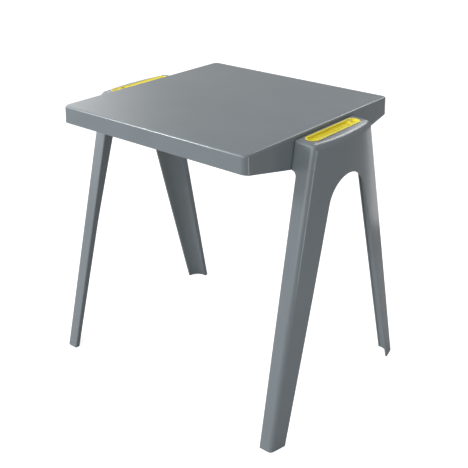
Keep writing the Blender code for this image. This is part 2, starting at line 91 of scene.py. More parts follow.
class Side(Enum):
    """Side of the desk, with the turn that takes a right-hand piece there."""

    RIGHT = 0.0
    LEFT = math.pi

    @property
    def label(self) -> str:
        """Name of the side as the CAD nodes write it."""
        return self.name.lower()

    def turn(self) -> Matrix:
        """Turn about Z from the right side to this one."""
        return Matrix.Rotation(self.value, 4, "Z")


# Numbers and outlines


def lerp(start: float, end: float, share: float) -> float:
    """Value between start and end at the given share."""
    return start + (end - start) * share


def spaced(start: float, end: float, cells: int, margin: float) -> list[float]:
    """Values from start to end, with a narrow cell at each end that keeps a rounded edge crisp.

    Args:
        start: First value.
        end: Last value.
        cells: Number of cells between the values.
        margin: Width of the first and of the last cell.

    Returns:
        One value more than there are cells.
    """
    length = abs(end - start)
    if length < cells * margin:
        return [lerp(start, end, step / cells) for step in range(cells + 1)]
    edge = margin / length
    inner = [lerp(edge, 1 - edge, step / (cells - 2)) for step in range(cells - 1)]
    return [lerp(start, end, share) for share in [0.0, *inner, 1.0]]


def quarter(steps: int) -> list[float]:
    """Angles of a quarter turn, from 0 to 90 degrees."""
    return [0.5 * math.pi * step / steps for step in range(steps + 1)]


def bend(radius: float, steps: int) -> list[tuple[float, float]]:
    """Quarter round: how far each of its points is from the first side and from the second."""
    return [(radius * (1 - math.cos(angle)), radius * (1 - math.sin(angle))) for angle in quarter(steps)]


def fillet(before: Vector, corner: Vector, after: Vector, radius: float, steps: int) -> list[Vector]:
    """Round corner between two directions in the plane.

    Args:
        before: A point on the line that comes in.
        corner: The sharp corner.
        after: A point on the line that goes out.
        radius: Radius of the rounding.
        steps: Number of chords.

    Returns:
        Points along the rounding, from the first line to the second.
    """
    back = (before - corner).normalized()
    ahead = (after - corner).normalized()
    half = 0.5 * math.acos(max(-1.0, min(1.0, back.dot(ahead))))
    reach = radius / math.tan(half)
    first = corner + back * reach
    last = corner + ahead * reach
    weight = math.sin(half)
    points = []
    for step in range(steps + 1):
        share = step / steps
        near = (1 - share) ** 2
        middle = 2 * weight * share * (1 - share)
        far = share ** 2
        points.append((first * near + corner * middle + last * far) / (near + middle + far))
    return points


def stadium(half_width: float, half_length: float, shift: float, steps: int) -> list[Vector]:
    """Ring with straight sides and round ends, in the plane, moved sideways by shift.

    Args:
        half_width: Half of the width, and the radius of the ends.
        half_length: Half of the whole length.
        shift: How far the ring is moved sideways.
        steps: Number of chords in both ends together.

    Returns:
        Points of the ring.
    """
    ring = []
    straight = half_length - half_width
    for end, start in ((-1, math.pi), (1, 0.0)):
        for step in range(steps // 2 + 1):
            angle = start + math.pi * step / (steps // 2)
            across = shift + half_width * math.cos(angle)
            ring.append(Vector((across, end * straight + half_width * math.sin(angle))))
    return ring


def circle(u: float, v: float, radius: float, steps: int) -> list[Vector]:
    """Circle in the plane about the point u, v."""
    angles = [2 * math.pi * step / steps for step in range(steps)]
    return [Vector((u + radius * math.cos(angle), v + radius * math.sin(angle))) for angle in angles]


def circle_x(x: float, radius: float, steps: int, flats: int = 0) -> list[Vector]:
    """Ring about the X axis: a circle, or a polygon that is 2 radius across its flats.

    Args:
        x: Place along the axis.
        radius: Radius, or half of the width across the flats.
        steps: Number of points.
        flats: Number of flats, or 0 for a circle.

    Returns:
        Points of the ring.
    """
    ring = []
    for step in range(steps):
        angle = 2 * math.pi * step / steps
        reach = radius
        if flats:
            sector = 2 * math.pi / flats
            reach = radius / math.cos(angle % sector - sector / 2)
        ring.append(Vector((x, reach * math.cos(angle), reach * math.sin(angle))))
    return ring


# Meshes


def loft(rings: Grid, closed: bool = False) -> Solid:
    """Closed body through rings of equal length.

    Args:
        rings: Rings from one end to the other.
        closed: Join the last ring to the first. Otherwise each end gets a cap.

    Returns:
        The body, with its faces outwards.
    """
    body = bmesh.new()
    rows = [[body.verts.new(point) for point in ring] for ring in rings]
    following = rows[1:] + rows[:1] if closed else rows[1:]
    for lower, upper in zip(rows, following):
        for index in range(len(lower)):
            after = (index + 1) % len(lower)
            body.faces.new((lower[index], lower[after], upper[after], upper[index]))
    if not closed:
        body.faces.new(list(reversed(rows[0])))
        body.faces.new(rows[-1])
    bmesh.ops.recalc_face_normals(body, faces=body.faces)
    return body


def thick_sheet(
    outer: Grid, inner: Grid, has_cell: Callable[[int, int], bool], edge: float,
) -> Solid:
    """Half of a moulding with an outer and an inner face, mirrored across Y and rounded at its rims.

    Args:
        outer: Rows of points of the outer face.
        inner: The same rows for the inner face.
        has_cell: Tells whether the cell at a row and column is there.
        edge: Width of the rounding along the rims.

    Returns:
        The closed body.
    """
    body = bmesh.new()
    front = [[body.verts.new(point) for point in row] for row in outer]
    back = [[body.verts.new(point) for point in row] for row in inner]
    partner = {}
    for row, other in zip(front, back):
        partner.update(zip(row, other))
    for number, (row, upper) in enumerate(zip(front, front[1:])):
        for column in range(len(row) - 1):
            if has_cell(number, column):
                body.faces.new((row[column], row[column + 1], upper[column + 1], upper[column]))
    sheet = list(body.faces)
    open_loops = [item.link_loops[0] for item in body.edges if item.is_boundary]
    pairs = [(loop.vert, loop.link_loop_next.vert) for loop in open_loops]
    for face in sheet:
        body.faces.new([partner[vert] for vert in reversed(face.verts)])
    layer = body.faces.layers.int.new("rim")
    for first, second in pairs:
        if abs(first.co.y) + abs(second.co.y) > MERGE:
            rim = body.faces.new((second, first, partner[first], partner[second]))
            rim[layer] = 1
    loose = [vert for vert in body.verts if not vert.link_faces]
    bmesh.ops.delete(body, geom=loose, context="VERTS")
    half = body.verts[:] + body.edges[:] + body.faces[:]
    bmesh.ops.mirror(body, geom=half, axis="Y", merge_dist=MERGE)
    bmesh.ops.remove_doubles(body, verts=body.verts, dist=MERGE)
    bmesh.ops.recalc_face_normals(body, faces=body.faces)
    round_rims(body, layer, edge)
    return body


def round_rims(body: Solid, layer: bmesh.types.BMLayerItem, width: float) -> None:
    """Round the edges between the rims and the faces, and the corners of the rims.

    Args:
        body: Moulding whose rims are marked.
        layer: Layer of face numbers, 1 on a rim and 0 elsewhere.
        width: Width of the rounding.
    """
    picked = []
    for item in body.edges:
        rims = sum(face[layer] for face in item.link_faces)
        corner = rims == 2 and item.calc_face_angle(0.0) > math.radians(RIM_CORNER_DEGREES)
        if rims == 1 or corner:
            picked.append(item)
    bmesh.ops.bevel(
        body, geom=picked, offset=width, offset_type="OFFSET", segments=RIM_SEGMENTS, profile=0.5,
        affect="EDGES", clamp_overlap=True, loop_slide=True,
    )


def to_mesh(name: str, bodies: Sequence[Solid]) -> Mesh:
    """Mesh that holds one or more bodies, which are freed.

    Args:
        name: Name of the mesh.
        bodies: Bodies that go into it.

    Returns:
        The mesh.
    """
    whole = bmesh.new()
    for body in bodies:
        part = bpy.data.meshes.new(name)
        body.to_mesh(part)
        body.free()
        whole.from_mesh(part)
        bpy.data.meshes.remove(part)
    mesh = bpy.data.meshes.new(name)
    whole.to_mesh(mesh)
    whole.free()
    return mesh


def link_object(name: str, mesh: Mesh) -> Piece:
    """Object at the origin that shows the mesh.

    Args:
        name: Name of the object.
        mesh: Its mesh.

    Returns:
        The object.
    """
    made = bpy.data.objects.new(name, mesh)
    bpy.context.scene.collection.objects.link(made)
    return made


def apply_modifiers(target: Piece) -> None:
    """Turn what the modifiers make into the object's plain mesh.

    Args:
        target: Object with modifiers, which it loses.
    """
    graph = bpy.context.evaluated_depsgraph_get()
    before = target.data
    target.data = bpy.data.meshes.new_from_object(target.evaluated_get(graph))
    target.modifiers.clear()
    bpy.data.meshes.remove(before)


def combine(target: Piece, bodies: Sequence[Solid], operation: str) -> None:
    """Apply one exact Boolean to the target with the bodies as its tool.

    Args:
        target: Object that is changed.
        bodies: Bodies that are joined to it or cut from it, which are freed.
        operation: Name of the Boolean.
    """
    tool = link_object("tool", to_mesh("tool", bodies))
    step = target.modifiers.new(operation, "BOOLEAN")
    step.operation = operation
    step.solver = "EXACT"
    step.object = tool
    apply_modifiers(target)
    bpy.data.meshes.remove(tool.data)


def smooth(mesh: Mesh, material: Material) -> None:
    """Shade the mesh smooth except at sharp edges, and give it one material.

    Args:
        mesh: Mesh to shade.
        material: Its only material.
    """
    mesh.shade_smooth()
    mesh.set_sharp_from_angle(angle=math.radians(SHARP_DEGREES))
    mesh.materials.clear()
    mesh.materials.append(material)


def publish(piece: Piece, nodes: Sequence[str]) -> None:
    """Tie a finished piece to the frame in place of its CAD nodes, and report it.

    Args:
        piece: Finished object at the origin.
        nodes: Names of the CAD nodes that it stands for.
    """
    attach(piece, BODY)
    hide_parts(*nodes)
    LOG.info("%s: %d faces, for %s", piece.name, len(piece.data.polygons), ", ".join(nodes))


def publish_pair(name: str, right: Piece) -> None:
    """Turn a copy of a right-hand piece round for the left side, and publish both.

    Args:
        name: Name of the CAD node without its side.
        right: Finished piece of the right side.
    """
    left = link_object(f"{name}_moulding_left", right.data.copy())
    left.data.transform(Side.LEFT.turn())
    publish(right, [name + "_right"])
    publish(left, [name + "_left"])


# Node trees


def add_node(
    tree: Tree,
    kind: str,
    settings: dict[str, Any] | None = None,
    inputs: dict[str | int, Any] | None = None,
) -> bpy.types.Node:
    """Add a node, set its options and fill or link its inputs.

    Args:
        tree: Tree that gets the node.
        kind: The node's type name.
        settings: Options of the node by name.
        inputs: Sockets to link from, or plain values, by input name or number.

    Returns:
        The node.
    """
    node = tree.nodes.new(kind)
    for name, value in (settings or {}).items():
        setattr(node, name, value)
    for key, value in (inputs or {}).items():
        if isinstance(value, Socket):
            tree.links.new(value, node.inputs[key])
        else:
            node.inputs[key].default_value = value
    return node


def fresh_tree(owner: Material | bpy.types.World) -> Tree:
    """Empty node tree of a material or of the surroundings."""
    owner.use_nodes = True
    owner.node_tree.nodes.clear()
    return owner.node_tree


def linear(colour: str) -> tuple[float, float, float, float]:
    """Linear colour of an sRGB hex value.

    Args:
        colour: Hex value that starts with #.

    Returns:
        Red, green, blue and alpha.
    """
    channels = []
    for start in (1, 3, 5):
        value = int(colour[start:start + 2], 16) / 255
        channels.append(value / 12.92 if value <= 0.04045 else ((value + 0.055) / 1.055) ** 2.4)
    return (*channels, 1.0)


def noise(tree: Tree, size: float, detail: float) -> Socket:
    """Noise on the object's own coordinates, with features of a size in metres.

    Args:
        tree: Tree of the material.
        size: Size of a feature.
        detail: How much finer structure is added.

    Returns:
        Socket with the noise.
    """
    place = add_node(tree, "ShaderNodeTexCoord").outputs["Object"]
    made = add_node(
        tree, "ShaderNodeTexNoise", None, {"Vector": place, "Scale": 1 / size, "Detail": detail})
    return made.outputs["Fac"]


def ranged(tree: Tree, source: Socket, low: float, high: float) -> Socket:
    """Value of a noise, stretched between two limits."""
    made = add_node(
        tree, "ShaderNodeMapRange", None,
        {"Value": source, "From Min": NOISE_LOW, "From Max": NOISE_HIGH, "To Min": low, "To Max": high})
    return made.outputs["Result"]


def blend(tree: Tree, factor: Socket, first: str, second: str) -> Socket:
    """Colour between two hex values."""
    made = add_node(
        tree, "ShaderNodeMix", {"data_type": "RGBA"}, {0: factor, 6: linear(first), 7: linear(second)})
    return made.outputs[2]


# Finishes


@dataclass(frozen=True)
class Finish:
    """A real surface: its colours, its gloss and the size of its marks.

    Attributes:
        name: Common name of the material and how its surface was made.
        colour: Main colour.
        tone: Colour that it drifts to.
        roughness: Middle roughness.
        marks: Size of the slow drift, in metres.
        grain: Size of the fine grain, in metres, coarser than the real one so that it shows.
        relief: Height of the grain, in metres.
        ior: Index of refraction, which a metal leaves at its default.
        metallic: 1 for a metal.
    """

    name: str
    colour: str
    tone: str
    roughness: float
    marks: float
    grain: float
    relief: float
    ior: float = 1.5
    metallic: float = 0.0

    def material(self) -> Material:
        """Material whose colour drifts slowly and whose fine grain breaks up the gloss.

        Returns:
            The material.
        """
        made = bpy.data.materials.new(self.name)
        tree = fresh_tree(made)
        drift = noise(tree, self.marks, DRIFT_DETAIL)
        grain = noise(tree, self.grain, GRAIN_DETAIL)
        low = self.roughness * (1 - ROUGHNESS_DRIFT)
        high = self.roughness * (1 + ROUGHNESS_DRIFT)
        bump = add_node(
            tree, "ShaderNodeBump", None, {"Strength": 1.0, "Distance": self.relief, "Height": grain})
        shader = add_node(tree, "ShaderNodeBsdfPrincipled", None, {
            "Base Color": blend(tree, ranged(tree, drift, 0.0, 1.0), self.colour, self.tone),
            "Roughness": ranged(tree, drift, low, high),
            "IOR": self.ior,
            "Metallic": self.metallic,
            "Normal": bump.outputs["Normal"],
        })
        add_node(tree, "ShaderNodeOutputMaterial", None, {"Surface": shader.outputs["BSDF"]})
        return made


FINISHES = {
    # Satin grey with a barely visible grain: broad soft reflections and clear highlights on the edges.
    Slot.GREY: Finish(
        "moulded grey polypropylene", "#788085", "#747C81",
        roughness=0.20, marks=0.160, grain=0.0011, relief=0.000006, ior=1.60),
    # Warm saturated yellow with a soft gloss, so that the sloping floor of the tray takes a pale sheen.
    Slot.YELLOW: Finish(
        "moulded yellow ABS", "#F2E226", "#EBD71C",
        roughness=0.24, marks=0.060, grain=0.0010, relief=0.000006, ior=1.53),
    # Bright bluish plating with slightly cloudy patches.
    Slot.ZINC: Finish(
        "zinc-plated steel", "#C3C7CC", "#B2B8BF",
        roughness=0.30, marks=0.004, grain=0.0005, relief=0.000010, metallic=1.0),
    # Warm metal with fine marks of turning that blur what it mirrors.
    Slot.BRASS: Finish(
        "turned brass", "#D9B36A", "#C9A157",
        roughness=0.33, marks=0.005, grain=0.0004, relief=0.000010, metallic=1.0),
}


# Rows of equal pieces


class RowOfCopies:
    """Geometry Nodes tree that repeats one piece along a straight row."""

    def __init__(self) -> None:
        """Build the tree with its named inputs."""
        tree = bpy.data.node_groups.new("row of copies", "GeometryNodeTree")
        face = tree.interface
        kinds = (
            ("Piece", "NodeSocketObject"),
            ("Count", "NodeSocketInt"),
            ("First", "NodeSocketVector"),
            ("Step", "NodeSocketVector"),
            ("Finish", "NodeSocketMaterial"),
        )
        face.new_socket("Geometry", in_out="INPUT", socket_type="NodeSocketGeometry")
        made = {name: face.new_socket(name, in_out="INPUT", socket_type=kind) for name, kind in kinds}
        face.new_socket("Geometry", in_out="OUTPUT", socket_type="NodeSocketGeometry")
        start = add_node(tree, "NodeGroupInput")
        line = add_node(tree, "GeometryNodeMeshLine", {"mode": "OFFSET"}, {
            "Count": start.outputs["Count"],
            "Start Location": start.outputs["First"],
            "Offset": start.outputs["Step"],
        })
        piece = add_node(tree, "GeometryNodeObjectInfo", None, {"Object": start.outputs["Piece"]})
        copies = add_node(tree, "GeometryNodeInstanceOnPoints", None, {
            "Points": line.outputs["Mesh"],
            "Instance": piece.outputs["Geometry"],
        })
        real = add_node(
            tree, "GeometryNodeRealizeInstances", None, {"Geometry": copies.outputs["Instances"]})
        dressed = add_node(tree, "GeometryNodeSetMaterial", None, {
            "Geometry": real.outputs["Geometry"],
            "Material": start.outputs["Finish"],
        })
        add_node(tree, "NodeGroupOutput", None, {"Geometry": dressed.outputs["Geometry"]})
        self.tree = tree
        self.identifiers = {name: item.identifier for name, item in made.items()}

    def make(
        self, name: str, piece: Solid, count: int, first: Vector, step: Vector,
        material: Material,
    ) -> Piece:
        """Repeat a body along a row.

        Args:
            name: Name of the new object.
            piece: Body to repeat, which is freed.
            count: Number of copies.
            first: Place of the first copy.
            step: Way from one copy to the next.
            material: Finish of all copies.

        Returns:
            Object with a plain mesh that holds every copy.
        """
        template = link_object(name + " template", to_mesh(name, [piece]))
        smooth(template.data, material)
        row = link_object(name, bpy.data.meshes.new(name))
        modifier = row.modifiers.new("row", "NODES")
        modifier.node_group = self.tree
        values = {"Piece": template, "Count": count, "First": first, "Step": step, "Finish": material}
        for key, value in values.items():
            modifier[self.identifiers[key]] = value
        apply_modifiers(row)
        bpy.data.meshes.remove(template.data)
        return row


# Shared sizes


@dataclass(frozen=True)
class DeskSizes:
    """Sizes that several pieces share."""

    height: float = 0.760
    top_width: float = 0.600
    top_depth: float = 0.600
    wall: float = 0.0045
    gap: float = 0.0003
    edge: float = 0.0009
    apron_front: float = 0.0445
    apron_side: float = 0.0775
    apron_draft: float = 0.045
    screw_drop: float = 0.055
    screw_spacing: float = 0.063
    screws_per_side: int = 4
    pad_height: float = 0.0016
    hole_steps: int = 40

    @property
    def notch_top(self) -> float:
        """Height of the lower edge of the side apron."""
        return self.height - self.apron_side

    @property
    def screw_height(self) -> float:
        """Height of the screw axes."""
        return self.height - self.screw_drop

    @property
    def first_screw(self) -> float:
        """Y of the first screw of a row."""
        return -self.screw_spacing * (self.screws_per_side - 1) / 2

    def apron_face(self, z: float) -> float:
        """How far out the drafted face of the side apron is at a height."""
        return self.top_width / 2 + self.apron_draft * (self.height - z)

    def seat_face(self, z: float) -> float:
        """Inner face of the leg frame, just off the side apron."""
        return self.apron_face(z) + self.gap

    def pad_face(self) -> float:
        """Face of the screw pads inside the side apron."""
        return self.apron_face(self.screw_height) - self.wall - self.pad_height

    def at_screws(self, make: Callable[[], Solid]) -> list[Solid]:
        """One body for each screw of the right side, from a body made on the X axis.

        Args:
            make: Makes the body.

        Returns:
            The bodies, from the front to the back.
        """
        bodies = []
        for index in range(self.screws_per_side):
            body = make()
            y = self.first_screw + self.screw_spacing * index
            body.transform(Matrix.Translation((0, y, self.screw_height)))
            bodies.append(body)
        return bodies


# Leg frames


@dataclass
class LegFrame:
    """Arched moulding: two splayed legs with thick flanges, joined by a shoulder beside the desktop."""

    desk: DeskSizes
    material: Material
    shoulder_drop: float = 0.0090
    shoulder_tilt: float = 0.05
    shoulder_half: float = 0.1226
    shoulder_reach: float = 0.0576
    foot_reach: float = 0.0839
    bow_foot: float = 0.13
    bow_top: float = 0.10
    corner_foot: float = 0.012
    corner_top: float = 0.0155
    inner_radius: float = 0.003
    least_radius: float = 0.0008
    round_outer: float = 0.015
    round_end: float = 0.006
    round_inner: float = 0.0025
    flange_foot: float = 0.036
    flange_top: float = 0.0425
    thick_foot: float = 0.0125
    thick_top: float = 0.0215
    inside_round: float = 0.036
    notch_radius: float = 0.014
    seat_step: float = 0.0015
    lip_foot: float = 0.0135
    lip_top: float = 0.024
    lip_corner: float = 0.020
    window_cut: float = 0.001
    arch_drop: float = 0.108
    arch_radius: float = 0.082
    leg_foot: float = 0.046
    tray_reach: float = 0.0255
    slot_half_width: float = 0.0158
    slot_half_length: float = 0.1038
    boss_diameter: float = 0.018
    boss_length: float = 0.018
    insert_room: float = 0.0128
    insert_bore: float = 0.0048
    plate_cells: int = 8
    lip_cells: int = 6
    inner_cells: int = 4
    flange_cells: int = 8
    corner_cells: int = 12
    wall_cells: int = 22
    leg_rows: int = 26
    crown_rows: int = 18
    round_rows: int = 10
    window_cells: int = 8
    step_rows: int = 4
    shoulder_rows: Sequence[float] = (0.3, 0.6, 0.9)
    crest_rows: Sequence[float] = (0.12, 0.5, 0.85, 1.0)
    edge_steps: int = 4
    margin: float = 0.0022
    lip_margin: float = 0.0005
    arch_foot: float = field(init=False)
    arch_centre: float = field(init=False)
    arch_lean: float = field(init=False)
    arch_touch: float = field(init=False)
    window: list[Vector] = field(init=False)

    def __post_init__(self) -> None:
        """Find where the straight edges of the arch touch its crown, and round the opening inside."""
        self.arch_foot = self.foot_half - self.leg_foot
        self.arch_centre = self.apex - self.arch_radius
        reach = math.hypot(self.arch_foot, self.arch_centre)
        self.arch_lean = math.atan2(self.arch_centre, -self.arch_foot) - math.asin(self.arch_radius / reach)
        self.arch_touch = self.arch_lean - 0.5 * math.pi
        top = self.desk.notch_top - self.window_cut
        corner = Vector((self.window_half(top), top))
        side = Vector((self.window_half(0.0), 0.0))
        self.window = fillet(side, corner, Vector((0.0, top)), self.lip_corner, self.window_cells)

    @property
    def foot_half(self) -> float:
        """Half length of the frame at the floor."""
        return self.desk.top_depth / 2

    @property
    def shoulder_top(self) -> float:
        """Height of the shoulder beside the desktop."""
        return self.desk.height - self.shoulder_drop

    @property
    def apex(self) -> float:
        """Height of the crown of the arch."""
        return self.desk.height - self.arch_drop

    def half(self, z: float) -> float:
        """Half length of the frame, along Y, at a height."""
        return lerp(self.foot_half, self.shoulder_half, z / self.shoulder_top)

    def corner(self, z: float) -> float:
        """How far out the outer corners are at a height."""
        reach = lerp(self.foot_reach, self.shoulder_reach, z / self.shoulder_top)
        return self.desk.top_width / 2 + reach

    def bulge(self, z: float) -> float:
        """How far the bowed outer face stands out past its corners."""
        return self.half(z) * lerp(self.bow_foot, self.bow_top, z / self.shoulder_top)

    def flange_edge(self, z: float) -> float:
        """Inner edge of the leg flanges below the apron."""
        return self.corner(z) - lerp(self.flange_foot, self.flange_top, z / self.desk.notch_top)

    def inner_edge(self, z: float) -> float:
        """Inner edge of the whole frame: leg flange, round notch, then the seat of the shoulder.

        Args:
            z: Height.

        Returns:
            Distance from the middle of the desk.
        """
        centre_z = self.desk.notch_top - self.notch_radius
        if z <= centre_z:
            return self.flange_edge(z)
        if z <= self.desk.notch_top:
            across = math.sqrt(max(self.notch_radius ** 2 - (z - centre_z) ** 2, 0.0))
            return self.flange_edge(centre_z) - self.notch_radius + across
        return self.desk.seat_face(z)

    def window_half(self, z: float) -> float:
        """Half width of the opening between the small lips of the two legs."""
        return self.half(z) - lerp(self.lip_foot, self.lip_top, z / self.apex)

    def lip_end(self, z: float) -> float:
        """Free edge of the lip, with the rounded upper corner of the opening.

        Args:
            z: Height.

        Returns:
            Distance from the middle, along Y.
        """
        if z <= self.window[0].y:
            return self.window_half(z)
        for low, high in zip(self.window, self.window[1:]):
            if z <= high.y:
                return lerp(low.x, high.x, (z - low.y) / (high.y - low.y))
        return self.window[-1].x

    def arch_half(self, z: float) -> float:
        """Half width of the arch at a height.

        Args:
            z: Height.

        Returns:
            The half width, 0 above the crown.
        """
        if z >= self.apex:
            return 0.0
        if z > self.arch_centre + self.arch_radius * math.sin(self.arch_touch):
            return math.sqrt(self.arch_radius ** 2 - (z - self.arch_centre) ** 2)
        return self.arch_foot + z / math.tan(self.arch_lean)

    def shoulder_level(self, x: float, inset: float) -> float:
        """Height of the sloping top of the shoulder."""
        return self.shoulder_top - self.shoulder_tilt * (x - self.desk.top_width / 2) - inset

    def section(self, z: float, inset: float, nominal: float) -> list[Vector]:
        """Half of the plan outline, from the middle of the seat round the front corner to the arch.

        Args:
            z: Height of the section.
            inset: Distance in from the outer face.
            nominal: Height that sets the free edges of the lip and of the arch.

        Returns:
            Points in plan, as many at every height.
        """
        if inset and nominal <= self.apex:
            return self.inside_of_leg(z, inset, nominal)
        half = self.half(z) - inset
        corner_x = self.corner(z) - inset
        inner_x = self.inner_edge(z - inset) + inset
        bulge = self.bulge(z)
        inner_radius = max(self.inner_radius - inset, self.least_radius)
        corner_radius = lerp(self.corner_foot, self.corner_top, z / self.shoulder_top) - inset
        lip = self.lip_end(nominal)
        points = [Vector((inner_x, -lip * step / self.plate_cells)) for step in range(self.plate_cells)]
        along = spaced(-lip, inner_radius - half, self.lip_cells, self.margin)
        points += [Vector((inner_x, y)) for y in along[:-1]]
        inner_corner = Vector((inner_x, -half))
        outer_corner = Vector((corner_x, -half))
        points += fillet(
            Vector((inner_x, 0)), inner_corner, outer_corner, inner_radius, self.inner_cells)
        tangent = outer_corner + Vector((2 * bulge, half))
        arc = fillet(inner_corner, outer_corner, tangent, corner_radius, self.corner_cells)
        across = spaced(points[-1].x, arc[0].x, self.flange_cells, self.margin)
        points += [Vector((x, -half)) for x in across[1:-1]]
        points += arc
        offset = arc[-1].x - corner_x - bulge * (1 - (arc[-1].y / half) ** 2)
        wall = spaced(arc[-1].y, -self.arch_half(nominal), self.wall_cells, self.margin)
        for step, y in enumerate(wall[1:], start=1):
            fade = offset * (1 - step / self.wall_cells)
            points.append(Vector((corner_x + bulge * (1 - (y / half) ** 2) + fade, y)))
        return points

    def inside_of_leg(self, z: float, inset: float, nominal: float) -> list[Vector]:
        """Half of the plan outline inside a leg: lip, face of the thick flange, large round, outer wall.

        Args:
            z: Height of the section.
            inset: Thickness of the outer wall.
            nominal: Height that sets the free edges of the lip and of the arch.

        Returns:
            Points in plan, as many as in the other sections.
        """
        side = self.half(z) - lerp(self.thick_foot, self.thick_top, z / self.apex)
        half = self.half(z) - inset
        lip = self.lip_end(nominal)
        inner_x = self.inner_edge(z) + inset

        def on_wall(y: float) -> Vector:
            """Point on the inner face of the bowed outer wall."""
            return Vector((self.corner(z) - inset + self.bulge(z) * (1 - (y / half) ** 2), y))

        points = [Vector((inner_x, -lip * step / self.plate_cells)) for step in range(self.plate_cells)]
        points += [Vector((inner_x, y)) for y in spaced(-lip, -side, self.lip_cells, self.lip_margin)[:-1]]
        first = Vector((inner_x, -side))
        beyond = on_wall(self.inside_round - side)
        arc = fillet(first, on_wall(-side), beyond, self.inside_round, self.corner_cells)
        face_cells = self.inner_cells + self.flange_cells
        points += [first.lerp(arc[0], step / face_cells) for step in range(face_cells)]
        points += arc
        wall = spaced(arc[-1].y, -self.arch_half(nominal), self.wall_cells, self.margin)
        points += [on_wall(y) for y in wall[1:]]
        return points

    def rounding(self, inset: float) -> list[float]:
        """Radius of the top edge at each column: small beside the desktop, large on the outer face.

        Args:
            inset: Distance in from the outer face.

        Returns:
            One radius for each column.
        """
        radii = [self.round_inner] * (self.plate_cells + self.lip_cells)
        radii += [lerp(self.round_inner, self.round_end, step / self.inner_cells)
                  for step in range(self.inner_cells)]
        radii += [self.round_end] * self.flange_cells
        radii += [lerp(self.round_end, self.round_outer, step / self.corner_cells)
                  for step in range(self.corner_cells)]
        radii += [self.round_outer] * (self.wall_cells + 1)
        return [max(radius - inset, self.least_radius) for radius in radii]

    def levels(self) -> list[float]:
        """Heights of the rows below the rounding of the shoulder.

        Returns:
            Heights from the floor up.
        """
        touch_z = self.arch_centre + self.arch_radius * math.sin(self.arch_touch)
        rows = spaced(0.0, touch_z, self.leg_rows, self.margin)
        for step in range(1, self.crown_rows + 1):
            angle = lerp(self.arch_touch, 0.5 * math.pi, step / self.crown_rows)
            rows.append(self.arch_centre + self.arch_radius * math.sin(angle))
        first = self.window[0].y
        rows += [lerp(self.apex, first, step / self.step_rows) for step in range(1, self.step_rows)]
        rows += [point.y for point in self.window]
        start = math.asin(1 - self.window_cut / self.notch_radius)
        base = self.desk.notch_top - self.notch_radius
        for step in range(1, self.step_rows + 1):
            angle = lerp(start, 0.5 * math.pi, step / self.step_rows)
            rows.append(base + self.notch_radius * math.sin(angle))
        rows.append(self.desk.notch_top + self.seat_step)
        return rows

    def window_row(self) -> int:
        """Row at the upper edge of the opening, where the plate behind the apron starts."""
        return self.leg_rows + self.crown_rows + self.step_rows - 1 + len(self.window)

    def shifted(self, z: float, inset: float) -> float:
        """Height of the inner face's row: level with the outer one up to the arch, then a wall higher.

        Args:
            z: Height of the outer face's row.
            inset: Thickness of the wall.

        Returns:
            Height of the inner face's row.
        """
        centre_z = self.desk.notch_top - self.notch_radius
        share = (z - self.apex) / (centre_z - self.apex)
        return z + inset * min(max(share, 0.0), 1.0)

    def slot_outline(self, inset: float) -> list[Vector]:
        """Half of the edge of the tray slot, one point for each column.

        Args:
            inset: Depth below the top of the shoulder.

        Returns:
            Points of the edge, in place.
        """
        straight = self.slot_half_length - self.slot_half_width
        inner = self.plate_cells + self.lip_cells
        bend = self.inner_cells + self.flange_cells + self.corner_cells
        flat = [Vector((-self.slot_half_width, -straight * step / inner)) for step in range(inner)]
        for step in range(bend):
            angle = math.pi * (1 + step / bend)
            flat.append(Vector((
                self.slot_half_width * math.cos(angle),
                -straight + self.slot_half_width * math.sin(angle))))
        for step in range(self.wall_cells + 1):
            flat.append(Vector((self.slot_half_width, -straight * (1 - step / self.wall_cells))))
        place = self.tray_place()
        return [place @ Vector((point.x, point.y, -inset)) for point in flat]

    def tray_place(self) -> Matrix:
        """Where the pen tray sits: on the sloping top of the right shoulder.

        Returns:
            Place and tilt of the tray.
        """
        x = self.desk.top_width / 2 + self.tray_reach
        tilt = Matrix.Rotation(math.atan(self.shoulder_tilt), 4, "Y")
        return Matrix.Translation((x, 0, self.shoulder_level(x, 0.0))) @ tilt

    def grid(self, inset: float) -> Grid:
        """Rows of points from the feet over the shoulder to the tray slot.

        Args:
            inset: Distance in from the outer face.

        Returns:
            The rows, each with as many points.
        """
        rows = []
        for nominal in self.levels():
            z = self.shifted(nominal, inset)
            rows.append([Vector((point.x, point.y, z)) for point in self.section(z, inset, nominal)])
        below = rows[-1]
        top = self.section(self.shoulder_top - inset, inset, self.shoulder_top)
        radii = self.rounding(inset)
        starts = [self.shoulder_level(point.x, inset) - radius for point, radius in zip(top, radii)]
        for share in self.shoulder_rows:
            rows.append([
                self.on_section(column, lerp(below[column].z, start, share), inset)
                for column, start in enumerate(starts)])
        for angle in quarter(self.round_rows):
            ring = []
            for column, (start, radius) in enumerate(zip(starts, radii)):
                level = start + radius * math.sin(angle)
                inward = self.inward(column, level, inset) * radius * (1 - math.cos(angle))
                ring.append(self.on_section(column, level, inset) + inward)
            rows.append(ring)
        crest = rows[-1]
        slot = self.slot_outline(inset)
        for share in self.crest_rows:
            rows.append([first.lerp(last, share) for first, last in zip(crest, slot)])
        return rows

    def on_section(self, column: int, z: float, inset: float) -> Vector:
        """Point of one column at a height of the shoulder."""
        point = self.section(z, inset, self.shoulder_top)[column]
        return Vector((point.x, point.y, z))

    def inward(self, column: int, z: float, inset: float) -> Vector:
        """Direction in from the outer face at one column of the shoulder.

        Args:
            column: Number of the column.
            z: Height.
            inset: Distance in from the outer face.

        Returns:
            Level direction of length 1.
        """
        outline = self.section(z, inset, self.shoulder_top)
        before = outline[column - 1] if column else Vector((outline[1].x, -outline[1].y))
        last = len(outline) - 1
        after = outline[column + 1] if column < last else Vector((outline[-2].x, -outline[-2].y))
        along = after - before
        return Vector((-along.y, along.x, 0)).normalized()

